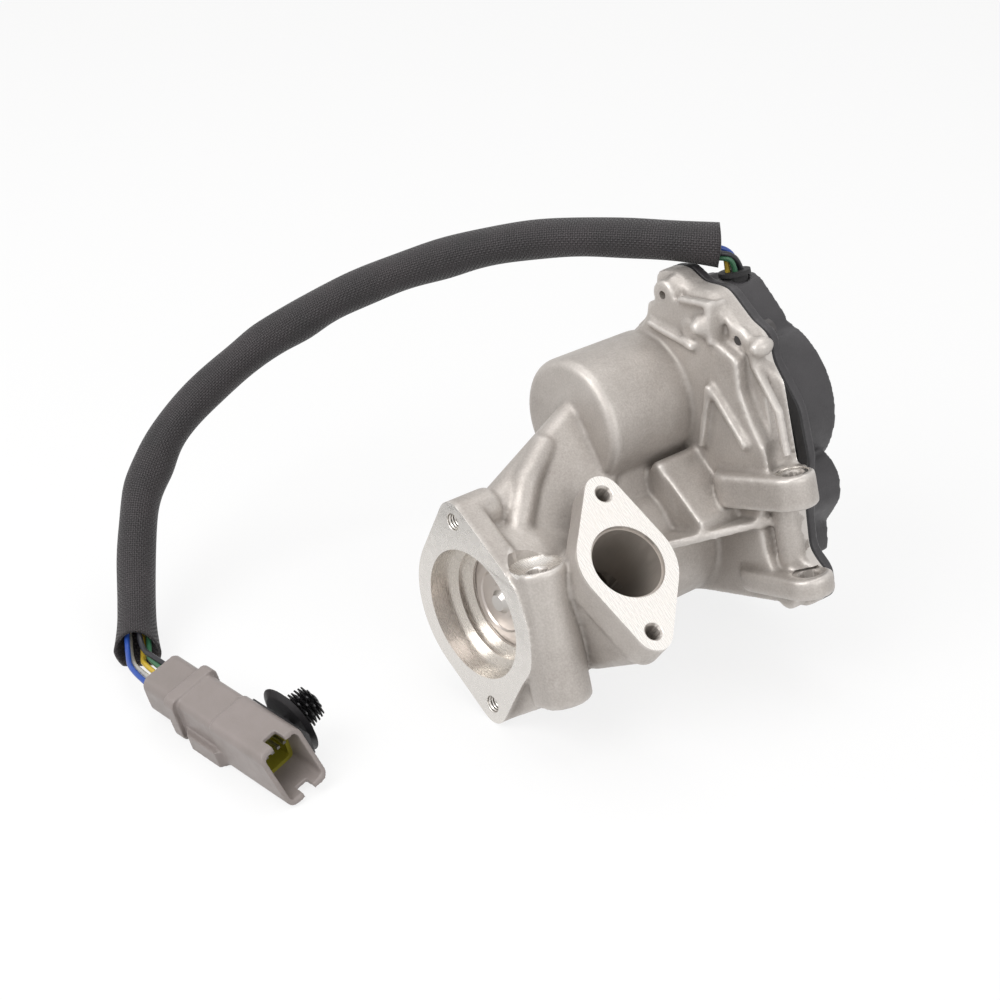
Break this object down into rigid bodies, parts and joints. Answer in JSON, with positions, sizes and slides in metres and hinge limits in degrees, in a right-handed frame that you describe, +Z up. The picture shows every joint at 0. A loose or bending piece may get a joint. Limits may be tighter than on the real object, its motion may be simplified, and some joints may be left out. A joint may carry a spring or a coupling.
{
  "type": "exhaust gas recirculation valve",
  "caption": "Electric exhaust gas recirculation valve: cast body with inlet flange and side port, geared motor, cam-driven poppet, sleeved lead and sealed connector.",
  "frame": {"origin": "centre of the inlet bore, on the machined face of the inlet flange", "axes": "+X runs from the inlet face along the valve stem into the body; +Z is up from the table that the valve lies on, and -Y is the side of the side port"},
  "size_m": [0.2149, 0.2143, 0.146],
  "materials": {
    "casting": "bead-blasted die casting with machined faces",
    "steel": "turned steel",
    "stainless": "drawn stainless steel, heat tinted",
    "bronze": "sintered bronze",
    "cover_plastic": "glass-filled nylon, fine grain",
    "gear_plastic": "natural moulded gear plastic",
    "gasket_rubber": "moulded rubber",
    "zinc": "zinc plated",
    "magnet": "ferrite",
    "copper": "enamelled copper wire",
    "board": "solder-masked board",
    "brush_card": "phenolic",
    "carbon": "carbon graphite",
    "sleeve": "woven protective sleeve",
    "wire": "insulation, one colour a wire",
    "connector_plastic": "moulded nylon",
    "connector_seal": "silicone rubber",
    "terminal": "tin-plated terminal",
    "clip_plastic": "moulded nylon"
  },
  "bodies": {
    "body": {"valve_housing": "casting", "port_liner": "stainless", "valve_seat": "stainless", "stem_bush": "bronze", "stem_seal": "gasket_rubber", "return_spring": "steel", "guide_sleeve": "steel", "output_bearing": "bronze", "sensor_board": "board", "intermediate_pin": "steel", "motor_can": "zinc", "motor_end_plate": "zinc", "motor_magnets": "magnet", "motor_bushes": "bronze", "motor_brush_card": "brush_card", "motor_brushes": "carbon", "cover_gasket": "gasket_rubber", "gear_cover": "cover_plastic", "cover_screws": "zinc", "wire_grommet": "gasket_rubber", "lead_sleeve": "sleeve", "lead_wires": "wire", "connector_housing": "connector_plastic", "connector_cap": "connector_plastic", "connector_seal": "connector_seal", "connector_terminals": "terminal", "fixing_clip": "clip_plastic"},
    "rotor": {"motor_shaft": "steel", "motor_armature": "steel", "motor_windings": "copper", "motor_commutator": "copper", "motor_pinion": "steel"},
    "intermediate": {"intermediate_gear": "gear_plastic"},
    "output": {"output_gear": "gear_plastic", "sensor_magnet": "magnet"},
    "valve": {"valve_stem": "steel", "valve_disc": "stainless", "crosshead": "steel", "drive_pin": "steel", "cam_rollers": "steel"}
  },
  "joints": [
    {"name": "rotor_spin", "type": "hinge", "parent": "body", "child": "rotor", "pos_m": [0.08, 0.01566, 0.04601], "axis": [1, 0, 0], "range_deg": [0, 1575]},
    {"name": "intermediate_spin", "type": "hinge", "parent": "body", "child": "intermediate", "pos_m": [0.106, -0.01305, 0.04827], "axis": [1, 0, 0], "range_deg": [-315.1, 0]},
    {"name": "output_turn", "type": "hinge", "parent": "body", "child": "output", "pos_m": [0.1, 0, 0], "axis": [1, 0, 0], "range_deg": [0, 60], "stiffness_Nm_per_rad": 0.25, "springref_deg": -57.3},
    {"name": "valve_lift", "type": "slide", "parent": "body", "child": "valve", "axis": [-1, 0, 0], "range_m": [0, 0.008]}
  ],
  "couplings": [
    {"joint": "intermediate_spin", "follows": "rotor_spin", "ratio": -0.2},
    {"joint": "output_turn", "follows": "rotor_spin", "ratio": 0.038095},
    {"joint": "valve_lift", "follows": "rotor_spin", "m_per_rad": 0.00029103}
  ]
}
